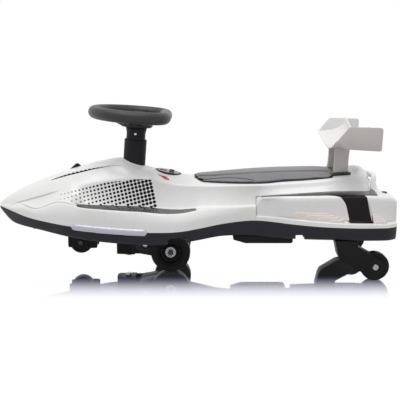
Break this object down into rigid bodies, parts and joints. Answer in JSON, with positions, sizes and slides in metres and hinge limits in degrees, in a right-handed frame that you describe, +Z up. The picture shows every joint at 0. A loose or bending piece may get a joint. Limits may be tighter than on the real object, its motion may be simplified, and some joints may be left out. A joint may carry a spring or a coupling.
{
  "type": "electric ride-on car",
  "caption": "Low electric ride-on swing car with a pointed moulded body, steering wheel over a turning drive unit, long padded seat, winged backrest and rear wheels on swept legs.",
  "frame": {"origin": "on the floor, midway between the nose and the tail, on the car's centre plane", "axes": "+X towards the tail, so the nose points along -X; +Y towards the rider's right; +Z up"},
  "size_m": [0.9984, 0.388, 0.4176],
  "materials": {
    "shell_white": "smooth glossy white moulded plastic",
    "tray_grey": "dark grey moulded plastic, satin",
    "gloss_black": "glossy black moulded plastic",
    "chassis_black": "black moulded plastic, fine satin grain",
    "rim_grey": "dark grey soft-touch plastic",
    "tyre_black": "smooth solid black tyre",
    "seat_leather": "mid-grey leatherette, softly grained",
    "steel": "bright zinc-plated steel",
    "light_lens": "milky lavender lens",
    "panel_silver": "silver panel, satin",
    "button_red": "crimson buttons, satin",
    "battery_case": "dark blue battery case, matt"
  },
  "bodies": {
    "chassis": {"backrest_foot": "chassis_black", "backrest_post_left": "shell_white", "backrest_post_right": "shell_white", "backrest_wing": "shell_white", "battery": "battery_case", "battery_box": "chassis_black", "body_shell": "shell_white", "charging_socket": "gloss_black", "chassis_tray": "tray_grey", "column_bush": "steel", "column_sleeve": "chassis_black", "control_panel": "panel_silver", "foot_plate_left": "gloss_black", "foot_plate_right": "gloss_black", "guard_axle": "steel", "guard_bracket": "chassis_black", "hood_fin": "chassis_black", "light_strip_left": "light_lens", "light_strip_right": "light_lens", "pedal_bracket": "chassis_black", "rear_bolt_left": "steel", "rear_bolt_right": "steel", "rear_handle": "shell_white", "rear_leg_left": "chassis_black", "rear_leg_right": "chassis_black", "rear_shell": "shell_white", "seat_pad": "seat_leather", "side_band_left": "gloss_black", "side_band_right": "gloss_black"},
    "steering": {"steering_rim": "rim_grey", "steering_hub": "chassis_black", "steering_collar": "chassis_black", "collar_screw": "steel", "steering_shaft": "steel", "shaft_nut": "steel", "steering_fork": "chassis_black", "gearbox_left": "chassis_black", "gearbox_right": "chassis_black", "drive_motor": "steel", "cheek_bolt_left": "steel", "cheek_bolt_right": "steel", "front_axle": "steel", "axle_nut": "steel"},
    "drive_wheel_left": {"drive_tyre_left": "tyre_black", "drive_hub_left": "chassis_black", "drive_bearing_left": "steel"},
    "rear_wheel_left": {"rear_tyre_left": "tyre_black", "rear_hub_left": "chassis_black"},
    "drive_wheel_right": {"drive_tyre_right": "tyre_black", "drive_hub_right": "chassis_black", "drive_bearing_right": "steel"},
    "rear_wheel_right": {"rear_tyre_right": "tyre_black", "rear_hub_right": "chassis_black"},
    "guard_roller": {"guard_wheel": "tyre_black"},
    "pedal": {"accelerator_pedal": "gloss_black"},
    "rocker": {"power_switch": "chassis_black"},
    "music_key": {"music_button": "button_red"},
    "horn_key": {"horn_button": "button_red"}
  },
  "joints": [
    {"name": "steering_turn", "type": "hinge", "parent": "chassis", "child": "steering", "pos_m": [-0.16542, 0, 0.05], "axis": [0.0785, 0, 0.9969], "range_deg": [-35, 35]},
    {"name": "drive_wheel_left_spin", "type": "hinge", "parent": "steering", "child": "drive_wheel_left", "pos_m": [-0.05275, -0.0625, 0.05], "axis": [0, 1, 0], "continuous": true},
    {"name": "drive_wheel_right_spin", "type": "hinge", "parent": "steering", "child": "drive_wheel_right", "pos_m": [-0.05275, 0.0625, 0.05], "axis": [0, 1, 0], "continuous": true},
    {"name": "rear_wheel_left_spin", "type": "hinge", "parent": "chassis", "child": "rear_wheel_left", "pos_m": [0.44975, -0.143, 0.035], "axis": [0, 1, 0], "continuous": true},
    {"name": "rear_wheel_right_spin", "type": "hinge", "parent": "chassis", "child": "rear_wheel_right", "pos_m": [0.44975, 0.143, 0.035], "axis": [0, 1, 0], "continuous": true},
    {"name": "guard_wheel_spin", "type": "hinge", "parent": "chassis", "child": "guard_roller", "pos_m": [-0.28925, 0, 0.0625], "axis": [0, 1, 0], "continuous": true},
    {"name": "pedal_press", "type": "hinge", "parent": "chassis", "child": "pedal", "pos_m": [-0.09925, 0.13671, 0.18011], "axis": [0, -1, 0], "range_deg": [0, 8], "stiffness_Nm_per_rad": 0.5, "springref_deg": -11.46},
    {"name": "switch_rock", "type": "hinge", "parent": "chassis", "child": "rocker", "pos_m": [-0.07318, 0, 0.24829], "axis": [0, 1, 0], "range_deg": [-8, 8]},
    {"name": "music_press", "type": "slide", "parent": "chassis", "child": "music_key", "axis": [-0.1946, 0, -0.9809], "range_m": [0, 0.0015], "stiffness_N_per_m": 200, "springref_m": -0.002},
    {"name": "horn_press", "type": "slide", "parent": "chassis", "child": "horn_key", "axis": [-0.1946, 0, -0.9809], "range_m": [0, 0.0015], "stiffness_N_per_m": 200, "springref_m": -0.002}
  ]
}
